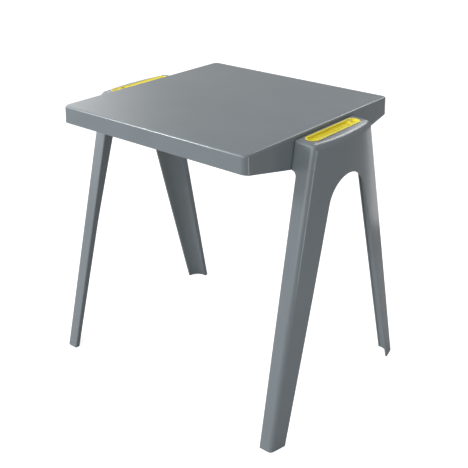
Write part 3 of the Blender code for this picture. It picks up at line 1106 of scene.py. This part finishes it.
    def has_cell(self, row: int, column: int) -> bool:
        """The middle of the inner face is open below the shoulder."""
        return column >= self.plate_cells or row >= self.window_row()

    def boss(self) -> Solid:
        """Round boss behind the seat, which takes one threaded insert.

        Returns:
            Body on the X axis.
        """
        seat = self.desk.seat_face(self.desk.screw_height)
        radius = self.boss_diameter / 2
        end = seat + self.boss_length
        rings = [circle_x(seat + self.desk.wall / 2, radius, self.desk.hole_steps)]
        for inset, short in bend(self.desk.edge, self.edge_steps):
            rings.append(circle_x(end - short, radius - inset, self.desk.hole_steps))
        return loft(rings)

    def insert_hole(self) -> Solid:
        """Blind hole for one threaded insert.

        Returns:
            Body on the X axis.
        """
        seat = self.desk.seat_face(self.desk.screw_height)
        ends = (seat - self.boss_length, seat + self.insert_room)
        return loft([circle_x(x, self.insert_bore, self.desk.hole_steps) for x in ends])

    def build(self) -> None:
        """Build the right frame and turn a copy of it round for the left side."""
        inner = self.grid(self.desk.wall)
        sheet = thick_sheet(self.grid(0.0), inner, self.has_cell, self.desk.edge)
        right = link_object("leg_frame_moulding_right", to_mesh("leg_frame", [sheet]))
        combine(right, self.desk.at_screws(self.boss), "UNION")
        combine(right, self.desk.at_screws(self.insert_hole), "DIFFERENCE")
        smooth(right.data, self.material)
        publish_pair("leg_frame", right)


# Desktop


@dataclass
class Desktop:
    """Ribbed shell with a rounded upper edge and a side apron that deepens towards the leg frames."""

    desk: DeskSizes
    frame: LegFrame
    rows: RowOfCopies
    material: Material
    skin: float = 0.005
    corner_radius: float = 0.015
    edge_radius: float = 0.005
    ceiling_radius: float = 0.002
    rib_depth: float = 0.022
    rib_root: float = 0.004
    rib_tip: float = 0.003
    rib_cells: int = 8
    rib_border: float = 0.0075
    pad_diameter: float = 0.020
    bore: float = 0.0033
    rib_stagger: float = 0.0002
    top_border: float = 0.004
    margin: float = 0.002
    wall_rows: Sequence[float] = (0.1, 0.5, 0.9)
    corner_steps: int = 12
    side_cells: int = 12
    edge_steps: int = 12
    ceiling_steps: int = 4
    rim_steps: int = 3
    pad_steps: int = 48

    def meet(self) -> float:
        """Half length of the deep middle of the side apron."""
        return self.frame.half(self.desk.notch_top)

    def outline(self) -> list[tuple[Vector, Vector]]:
        """Points and outward directions around the desktop, anticlockwise from above.

        Returns:
            Pairs of a point and its direction, in plan.
        """
        half_x = self.desk.top_width / 2
        half_y = self.desk.top_depth / 2
        straight_x = half_x - self.corner_radius
        straight_y = half_y - self.corner_radius
        meet = self.meet()
        side = spaced(-straight_y, -meet, self.side_cells, self.margin)
        side += spaced(-meet, meet, self.side_cells, self.margin)[1:]
        side += spaced(meet, straight_y, self.side_cells, self.margin)[1:]
        front = spaced(-straight_x, straight_x, self.side_cells, self.margin)
        points = []
        for number, along in enumerate((front, side, front, side)):
            angle = 0.5 * math.pi * (number - 1)
            turn = Matrix.Rotation(angle + 0.5 * math.pi, 2)
            reach = half_y if number % 2 == 0 else half_x
            outward = turn @ Vector((0, -1))
            points += [(turn @ Vector((value, -reach)), outward) for value in along]
            centre = turn @ Vector((along[-1], self.corner_radius - reach))
            for step in range(1, self.corner_steps):
                bend = angle + 0.5 * math.pi * step / self.corner_steps
                ray = Vector((math.cos(bend), math.sin(bend)))
                points.append((centre + ray * self.corner_radius, ray))
        return points

    def lower_edge(self, y: float) -> float:
        """Depth of the lower edge below the top: level in front, then sloping down to the frames.

        Args:
            y: Place along the side.

        Returns:
            The depth.
        """
        half = self.desk.top_depth / 2
        share = (half - min(abs(y), half)) / (half - self.meet())
        return lerp(self.desk.apron_front, self.desk.apron_side, min(share, 1.0))

    def ring(self, inset: float, depth_at: Callable[[float], float]) -> list[Vector]:
        """Ring around the desktop, set in from its drafted face, at a depth that may change with Y.

        Args:
            inset: Distance in from the face.
            depth_at: Gives the depth below the top at a Y.

        Returns:
            Points of the ring.
        """
        points = []
        for point, outward in self.outline():
            depth = depth_at(point.y)
            place = point + outward * (self.desk.apron_draft * depth - inset)
            points.append(Vector((place.x, place.y, self.desk.height - depth)))
        return points

    def rings(self) -> Grid:
        """Rings from the ceiling down the inner face, round the rim, up the outer face and over the top.

        Returns:
            The rings in order.
        """
        wall = self.desk.wall
        edge = self.desk.edge
        found = [self.ring(wall + 4 * self.ceiling_radius, lambda y: self.skin)]
        for drop, inset in bend(self.ceiling_radius, self.ceiling_steps):
            found.append(self.ring(wall + inset, lambda y, at=self.skin + drop: at))
        top = self.skin + self.ceiling_radius
        for share in self.wall_rows:
            found.append(self.ring(wall, lambda y, at=share: lerp(top, self.lower_edge(y) - edge, at)))
        for inset, rise in bend(edge, self.rim_steps):
            found.append(self.ring(wall - inset, lambda y, at=rise: self.lower_edge(y) - at))
        for rise, inset in bend(edge, self.rim_steps):
            found.append(self.ring(inset, lambda y, at=rise: self.lower_edge(y) - at))
        for share in self.wall_rows:
            found.append(self.ring(0.0, lambda y, at=share: lerp(
                self.lower_edge(y) - edge, self.edge_radius, at)))
        for inset, depth in bend(self.edge_radius, self.edge_steps):
            found.append(self.ring(inset, lambda y, at=depth: at))
        found.append(self.ring(self.edge_radius + self.top_border, lambda y: 0.0))
        return found

    def rib(self, length: float, depth: float) -> Solid:
        """Drafted rib along X, hanging from the ceiling, with its root sunk into the skin.

        Args:
            length: Length of the rib.
            depth: How far it hangs below the ceiling.

        Returns:
            The rib, with its middle at the origin.
        """
        sunk = self.skin / 2
        rings = []
        for end in (-length / 2, length / 2):
            profile = ((-self.rib_root / 2, sunk), (self.rib_root / 2, sunk),
                       (self.rib_tip / 2, -depth), (-self.rib_tip / 2, -depth))
            rings.append([Vector((end, y, z)) for y, z in profile])
        body = loft(rings)
        bmesh.ops.bevel(
            body, geom=body.edges[:], offset=self.rib_tip / 6, segments=2, profile=0.5, affect="EDGES")
        return body

    def ribs(self) -> list[Piece]:
        """Grid of crossing ribs, one row in each direction.

        Returns:
            One object for each row.
        """
        ceiling = self.desk.height - self.skin
        made = []
        for number, (span, other) in enumerate((
                (self.desk.top_width, self.desk.top_depth), (self.desk.top_depth, self.desk.top_width))):
            inside = span - self.desk.wall
            pitch = (other - 2 * self.rib_border) / self.rib_cells
            body = self.rib(inside, self.rib_depth - self.rib_stagger * number)
            turn = Matrix.Rotation(0.5 * math.pi * number, 4, "Z")
            body.transform(turn)
            step = turn @ Vector((0, pitch, 0))
            count = self.rib_cells - 1
            first = Vector((0, 0, ceiling)) - step * (count - 1) / 2
            made.append(self.rows.make(f"ribs {number}", body, count, first, step, self.material))
        return made

    def pad(self) -> Solid:
        """Screw pad inside the side apron.

        Returns:
            Body on the X axis.
        """
        end = self.desk.apron_face(self.desk.screw_height) - self.desk.wall / 2
        face = self.desk.pad_face()
        edge = self.desk.edge / 2
        radius = self.pad_diameter / 2
        rings = []
        for along, inset in bend(edge, self.rim_steps):
            rings.append(circle_x(face + along, radius - inset, self.pad_steps))
        return loft(rings + [circle_x(end, radius, self.pad_steps)])

    def hole(self) -> Solid:
        """Hole for one screw through the pad and the wall.

        Returns:
            Body on the X axis.
        """
        face = self.desk.pad_face()
        ends = (face - self.pad_diameter, face + self.pad_diameter)
        return loft([circle_x(x, self.bore, self.desk.hole_steps) for x in ends])

    def both_sides(self, make: Callable[[], Solid]) -> list[Solid]:
        """The bodies at the screws of the right side and their turned copies on the left.

        Args:
            make: Makes a body on the X axis.

        Returns:
            All the bodies.
        """
        bodies = self.desk.at_screws(make)
        for body in self.desk.at_screws(make):
            body.transform(Side.LEFT.turn())
            bodies.append(body)
        return bodies

    def build(self) -> None:
        """Build the shell with its pads and holes, and add the rib grid to it."""
        shell = link_object("desktop_moulding", to_mesh("desktop", [loft(self.rings())]))
        combine(shell, self.both_sides(self.pad), "UNION")
        combine(shell, self.both_sides(self.hole), "DIFFERENCE")
        joined = bmesh.new()
        joined.from_mesh(shell.data)
        for ribs in self.ribs():
            joined.from_mesh(ribs.data)
            bpy.data.meshes.remove(ribs.data)
        joined.to_mesh(shell.data)
        joined.free()
        smooth(shell.data, self.material)
        publish(shell, ["desktop"])


# Pen trays


@dataclass
class PenTray:
    """Snap-in tray: a pen trough whose floor slopes up to its outer rim, a shelf, a cup and a hole."""

    desk: DeskSizes
    frame: LegFrame
    material: Material
    half_width: float = 0.0175
    half_length: float = 0.1055
    rim: float = 0.0020
    depth: float = 0.0075
    floor: float = 0.003
    crown: float = 0.0012
    rim_thick: float = 0.0007
    rim_round: float = 0.0010
    trough_half: float = 0.0135
    trough_shift: float = 0.0015
    trough_end: float = 0.004
    trough_low: float = 0.0042
    trough_run: float = 0.0018
    trough_edge: float = 0.0006
    foot_round: float = 0.0008
    shelf_start: float = 0.072
    shelf_drop: float = 0.0006
    shelf_radius: float = 0.0126
    cup_radius: float = 0.0065
    hole_across: float = 0.0070
    hole_along: float = 0.057
    hole_radius: float = 0.0042
    hole_room: float = 0.0020
    hole_web: float = 0.0012
    past: float = 0.020
    steps: int = 72
    round_steps: int = 48
    shelf_steps: int = 32
    edge_steps: int = 4

    def slope(self, u: float) -> float:
        """Height of the trough's floor: low beside the desktop, level with the rim on the outer side.

        Args:
            u: How far across the tray.

        Returns:
            Height above the seat.
        """
        reach = self.trough_half - self.trough_run
        share = (u - self.trough_shift + reach) / (2 * reach)
        return lerp(-self.trough_low, self.crown - self.trough_edge, min(max(share, 0.0), 1.0))

    def ring(
        self, width: float, length: float, shift: float, level: Callable[[float], float],
    ) -> list[Vector]:
        """Ring round the tray, its height set by how far across a point is."""
        return [Vector((p.x, p.y, level(p.x))) for p in stadium(width, length, shift, self.steps)]

    def rings(self) -> Grid:
        """Rings from the underside over the rim and down to the sloping floor of the trough.

        Returns:
            The rings in order.
        """
        seat = self.desk.gap
        length = self.half_length - self.trough_end
        lip = self.crown - self.trough_edge
        body = (self.half_width - self.rim, self.half_length - self.rim, 0.0)
        found = [self.ring(*body, lambda u: -self.depth), self.ring(*body, lambda u: seat)]
        found.append(self.ring(self.half_width, self.half_length, 0.0, lambda u: seat))
        for angle in quarter(self.edge_steps):
            inset = self.rim_round * (1 - math.cos(angle))
            level = lerp(seat + self.rim_thick, self.crown, math.sin(angle))
            found.append(self.ring(
                self.half_width - inset, self.half_length - inset, 0.0, lambda u, at=level: at))
        for angle in quarter(self.edge_steps):
            inset = self.trough_edge * math.sin(angle)
            level = lip + self.trough_edge * math.cos(angle)
            found.append(self.ring(
                self.trough_half - inset, length - inset, self.trough_shift, lambda u, at=level: at))
        for angle in quarter(self.edge_steps):
            inset = self.trough_run - self.foot_round * math.cos(angle)
            rise = self.foot_round * (1 - math.sin(angle))
            found.append(self.ring(
                self.trough_half - inset, length - inset, self.trough_shift,
                lambda u, at=rise: min(self.slope(u) + at, lip)))
        return found

    def shelf(self) -> Solid:
        """Raised shelf at the far end of the trough, with a rounded front edge.

        Returns:
            The shelf.
        """
        straight = self.half_length - self.half_width
        middle = self.trough_shift
        edge = self.desk.edge
        rings = []
        levels = [(0.0, self.floor / 2 - self.depth)]
        for inset, short in bend(edge, self.edge_steps):
            levels.append((inset, -short - self.shelf_drop))
        levels.append((2 * edge, -self.shelf_drop))
        for inset, level in levels:
            radius = self.shelf_radius
            ring = [Vector((middle - radius, self.shelf_start + inset, level)),
                    Vector((middle + radius, self.shelf_start + inset, level))]
            for step in range(self.shelf_steps + 1):
                angle = math.pi * step / self.shelf_steps
                ring.append(Vector((
                    middle + radius * math.cos(angle), straight + radius * math.sin(angle), level)))
            rings.append(ring)
        return loft(rings)

    def well(self, u: float, v: float, radius: float, low: float, mouth: float) -> Solid:
        """Round cutter with a flared mouth.

        Args:
            u: Its middle, across the tray.
            v: Its middle, along the tray.
            radius: Radius below the mouth.
            low: Height of its lower end.
            mouth: Height of the surface that it opens in.

        Returns:
            The cutter.
        """
        edge = self.desk.edge
        levels = [(0.0, low), (0.0, mouth - edge)]
        for flare, short in bend(edge, self.edge_steps)[1:]:
            levels.append((flare, mouth - short))
        levels.append((edge, self.past))
        rings = []
        for flare, level in levels:
            rim = circle(u, v, radius + flare, self.round_steps)
            rings.append([Vector((point.x, point.y, level)) for point in rim])
        return loft(rings)

    def room_under_hole(self) -> Solid:
        """Cutter that leaves a thin web round the hole, along the sloping floor.

        Returns:
            The cutter.
        """
        radius = self.hole_radius + self.hole_room
        rim = circle(self.hole_across, self.hole_along, radius, self.round_steps)
        low = [Vector((point.x, point.y, -self.past)) for point in rim]
        high = [Vector((point.x, point.y, self.slope(point.x) - self.hole_web)) for point in rim]
        return loft([low, high])

    def build(self) -> None:
        """Build the right tray and turn a copy of it round for the left side."""
        right = link_object("pen_tray_moulding_right", to_mesh("pen_tray", [loft(self.rings())]))
        combine(right, [self.shelf()], "UNION")
        far = self.half_length - self.half_width
        cup = self.well(0.0, far, self.cup_radius, self.floor - self.depth, -self.shelf_drop)
        combine(right, [cup], "DIFFERENCE")
        mouth = self.slope(self.hole_across)
        hole = self.well(self.hole_across, self.hole_along, self.hole_radius, -self.past, mouth)
        combine(right, [self.room_under_hole()], "DIFFERENCE")
        combine(right, [hole], "DIFFERENCE")
        right.data.transform(self.frame.tray_place())
        smooth(right.data, self.material)
        publish_pair("pen_tray", right)


# Fasteners


@dataclass
class Fasteners:
    """Screws, washers and threaded inserts that hold the leg frames to the side aprons."""

    desk: DeskSizes
    rows: RowOfCopies
    materials: dict[Slot, Material]
    screw_diameter: float = 0.006
    screw_length: float = 0.020
    chamfer: float = 0.0008
    head_diameter: float = 0.0105
    head_height: float = 0.0033
    head_flat: float = 0.0061
    head_edge: float = 0.0008
    socket_width: float = 0.004
    socket_depth: float = 0.0022
    washer_diameter: float = 0.014
    washer_thick: float = 0.0012
    insert_diameter: float = 0.009
    insert_length: float = 0.012
    insert_inset: float = 0.0005
    steps: int = 48
    head_steps: int = 8
    socket_flats: int = 6

    def washer_face(self) -> float:
        """Side of the washer that the screw head presses on."""
        return self.desk.pad_face() - self.desk.gap - self.washer_thick

    def screw(self) -> Solid:
        """Button head screw with a hexagon socket, pointing outwards along +X.

        Returns:
            The screw, on the X axis.
        """
        under = self.washer_face() - self.desk.gap
        top = under - self.head_height
        shank = self.screw_diameter / 2
        socket = self.socket_width / 2
        rings = [
            circle_x(top + self.socket_depth, socket, self.steps, self.socket_flats),
            circle_x(top, socket, self.steps, self.socket_flats),
        ]
        for angle in quarter(self.head_steps):
            level = top + (self.head_height - self.head_edge) * (1 - math.cos(angle))
            radius = lerp(self.head_flat, self.head_diameter, math.sin(angle)) / 2
            rings.append(circle_x(level, radius, self.steps))
        end = under + self.screw_length
        rings += [
            circle_x(under, self.head_diameter / 2, self.steps),
            circle_x(under, shank, self.steps),
            circle_x(end - self.chamfer, shank, self.steps),
            circle_x(end, shank - self.chamfer, self.steps),
        ]
        return loft(rings)

    def collar(self, start: float, length: float, outer: float, edge: float) -> Solid:
        """Ring-shaped body along X, with chamfered outer edges.

        Args:
            start: Where it starts along X.
            length: Its length.
            outer: Outer radius.
            edge: Width of the chamfers.

        Returns:
            The body.
        """
        inner = self.screw_diameter / 2 + self.desk.gap
        end = start + length
        profile = (
            (start, inner), (start, outer - edge), (start + edge, outer),
            (end - edge, outer), (end, outer - edge), (end, inner),
        )
        return loft([circle_x(x, radius, self.steps) for x, radius in profile], closed=True)

    def build(self) -> None:
        """Lay out one row of each kind on either side."""
        insert_start = self.desk.seat_face(self.desk.screw_height) + self.insert_inset
        kinds = (
            ("frame_screw", Slot.ZINC, self.screw),
            ("washer", Slot.ZINC, lambda: self.collar(
                self.washer_face(), self.washer_thick, self.washer_diameter / 2, self.chamfer / 4)),
            ("threaded_insert", Slot.BRASS, lambda: self.collar(
                insert_start, self.insert_length, self.insert_diameter / 2, self.chamfer / 2)),
        )
        first = Vector((0, self.desk.first_screw, self.desk.screw_height))
        step = Vector((0, self.desk.screw_spacing, 0))
        for kind, slot, make in kinds:
            for side in Side:
                row = self.rows.make(
                    f"{kind}_row_{side.label}", make(), self.desk.screws_per_side, first, step,
                    self.materials[slot])
                row.data.transform(side.turn())
                numbers = range(1, self.desk.screws_per_side + 1)
                publish(row, [f"{kind}_{side.label}_{number}" for number in numbers])


# Studio


@dataclass(frozen=True)
class Softbox:
    """Large soft light, aimed at a point of the desk."""

    name: str
    place: tuple[float, float, float]
    target: tuple[float, float, float]
    width: float
    height: float
    watts: float

    def build(self) -> None:
        """Add the light to the scene."""
        lamp = bpy.data.lights.new(self.name, "AREA")
        lamp.shape = "RECTANGLE"
        lamp.size = self.width
        lamp.size_y = self.height
        lamp.energy = self.watts
        made = bpy.data.objects.new(self.name, lamp)
        made.location = self.place
        aim = Vector(self.target) - Vector(self.place)
        made.rotation_euler = aim.to_track_quat("-Z", "Y").to_euler()
        made.visible_camera = False
        bpy.context.scene.collection.objects.link(made)


@dataclass(frozen=True)
class Glow:
    """Soft-edged bright area of the studio walls, as angles in degrees and a strength."""

    azimuth: float
    elevation: float
    reach: float
    strength: float

    def add(self, tree: Tree, direction: Socket) -> Socket:
        """Strength of the glow in a direction.

        Args:
            tree: Tree of the surroundings.
            direction: Direction that the surroundings are seen in.

        Returns:
            Full strength at the middle, falling smoothly to nothing at the reach.
        """
        turn = math.radians(self.azimuth)
        rise = math.radians(self.elevation)
        axis = (math.cos(rise) * math.cos(turn), math.cos(rise) * math.sin(turn), math.sin(rise))
        near = add_node(tree, "ShaderNodeVectorMath", {"operation": "DOT_PRODUCT"}, {0: direction, 1: axis})
        made = add_node(tree, "ShaderNodeMapRange", {"interpolation_type": "SMOOTHSTEP"}, {
            "Value": near.outputs["Value"],
            "From Min": math.cos(math.radians(self.reach)),
            "From Max": 1.0,
            "To Min": 0.0,
            "To Max": self.strength,
        })
        return made.outputs["Result"]


@dataclass
class Studio:
    """White studio: floor, surroundings, soft lights and the camera of the photograph."""

    ambient: float = 0.13
    mirrored: float = 0.37
    floor_size: float = 14.0
    floor_level: float = -0.0004
    floor_colour: str = "#B4B4B4"
    floor_glow: float = 0.86
    camera_place: tuple[float, float, float] = (1.29057, -1.54178, 1.34206)
    camera_azimuth: float = 39.497
    camera_elevation: float = 25.689
    camera_lens: float = 61.04
    camera_sensor: float = 36.0
    glows: Sequence[Glow] = (
        Glow(165.0, 16.0, 30.0, 2.50),
        Glow(176.0, 14.0, 50.0, 0.50),
        Glow(215.0, 20.0, 30.0, 2.95),
        Glow(270.0, 15.0, 35.0, 1.28),
        Glow(280.0, 40.0, 40.0, 1.60),
        Glow(126.0, 0.0, 11.0, 0.45),
    )
    softboxes: Sequence[Softbox] = (
        Softbox("key", (-1.476, -1.759, 1.671), (0.0, 0.0, 0.45), 0.5, 0.4, 19.0),
        Softbox("right strip", (1.900, -0.100, 0.450), (0.10, -0.10, 0.45), 0.35, 0.9, 3.4),
        Softbox("back overhead", (-0.060, 1.858, 2.036), (0.33, 0.0, 0.75), 1.0, 0.85, 9.2),
        Softbox("back reflector", (0.309, 1.155, 0.345), (0.0, 0.0, 0.45), 0.7, 0.5, 1.1),
        Softbox("right overhead", (1.200, 0.000, 2.528), (0.0, 0.0, 0.45), 0.8, 0.8, 4.5),
    )

    def surroundings(self) -> None:
        """World that is white to the camera, dimmer in reflections and a soft fill for the rest."""
        world = bpy.data.worlds.new("studio")
        tree = fresh_tree(world)
        path = add_node(tree, "ShaderNodeLightPath")
        direction = add_node(tree, "ShaderNodeTexCoord").outputs["Generated"]
        fill = add_node(tree, "ShaderNodeMix", {"data_type": "FLOAT"}, {
            0: path.outputs["Is Glossy Ray"], 2: self.ambient, 3: self.mirrored})
        lit = fill.outputs[0]
        for glow in self.glows:
            added = glow.add(tree, direction)
            total = add_node(tree, "ShaderNodeMath", {"operation": "ADD"}, {0: lit, 1: added})
            lit = total.outputs[0]
        strength = add_node(tree, "ShaderNodeMix", {"data_type": "FLOAT"}, {
            0: path.outputs["Is Camera Ray"], 2: lit, 3: 1.0})
        back = add_node(tree, "ShaderNodeBackground", None, {
            "Color": linear(WHITE), "Strength": strength.outputs[0]})
        add_node(tree, "ShaderNodeOutputWorld", None, {"Surface": back.outputs["Background"]})
        bpy.context.scene.world = world

    def floor(self) -> None:
        """Pale floor that looks white and keeps the soft shadow of the desk."""
        made = bpy.data.materials.new("white studio floor")
        tree = fresh_tree(made)
        path = add_node(tree, "ShaderNodeLightPath")
        share = add_node(tree, "ShaderNodeMath", {"operation": "MULTIPLY"}, {
            0: path.outputs["Is Camera Ray"], 1: self.floor_glow})
        matt = add_node(tree, "ShaderNodeBsdfDiffuse", None, {"Color": linear(self.floor_colour)})
        glow = add_node(tree, "ShaderNodeEmission", None, {
            "Color": linear(WHITE), "Strength": share.outputs[0]})
        both = add_node(tree, "ShaderNodeAddShader", None, {
            0: matt.outputs["BSDF"], 1: glow.outputs["Emission"]})
        add_node(tree, "ShaderNodeOutputMaterial", None, {"Surface": both.outputs["Shader"]})
        half = self.floor_size / 2
        plane = bmesh.new()
        corners = ((-half, -half), (half, -half), (half, half), (-half, half))
        plane.faces.new([plane.verts.new((x, y, self.floor_level)) for x, y in corners])
        ground = link_object("studio_floor", to_mesh("studio_floor", [plane]))
        ground.data.materials.append(made)

    def camera(self) -> None:
        """Camera where the photograph was taken."""
        lens = bpy.data.cameras.new("photo camera")
        lens.lens = self.camera_lens
        lens.sensor_width = self.camera_sensor
        made = bpy.data.objects.new("photo camera", lens)
        made.location = self.camera_place
        made.rotation_euler = (
            math.radians(90 - self.camera_elevation), 0.0, math.radians(self.camera_azimuth))
        bpy.context.scene.collection.objects.link(made)
        bpy.context.scene.camera = made

    def build(self) -> None:
        """Set up the whole studio."""
        self.surroundings()
        self.floor()
        self.camera()
        for softbox in self.softboxes:
            softbox.build()
        bpy.context.scene.view_settings.view_transform = "Standard"


def main() -> None:
    """Load the frame, build each sub-assembly around it and set up the studio."""
    logging.basicConfig(level=logging.INFO, format="%(name)s: %(message)s")
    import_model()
    materials = {slot: finish.material() for slot, finish in FINISHES.items()}
    desk = DeskSizes()
    rows = RowOfCopies()
    frame = LegFrame(desk, materials[Slot.GREY])
    for assembly in (
        frame,
        Desktop(desk, frame, rows, materials[Slot.GREY]),
        PenTray(desk, frame, materials[Slot.YELLOW]),
        Fasteners(desk, rows, materials),
        Studio(),
    ):
        assembly.build()


if __name__ == "__main__":
    main()
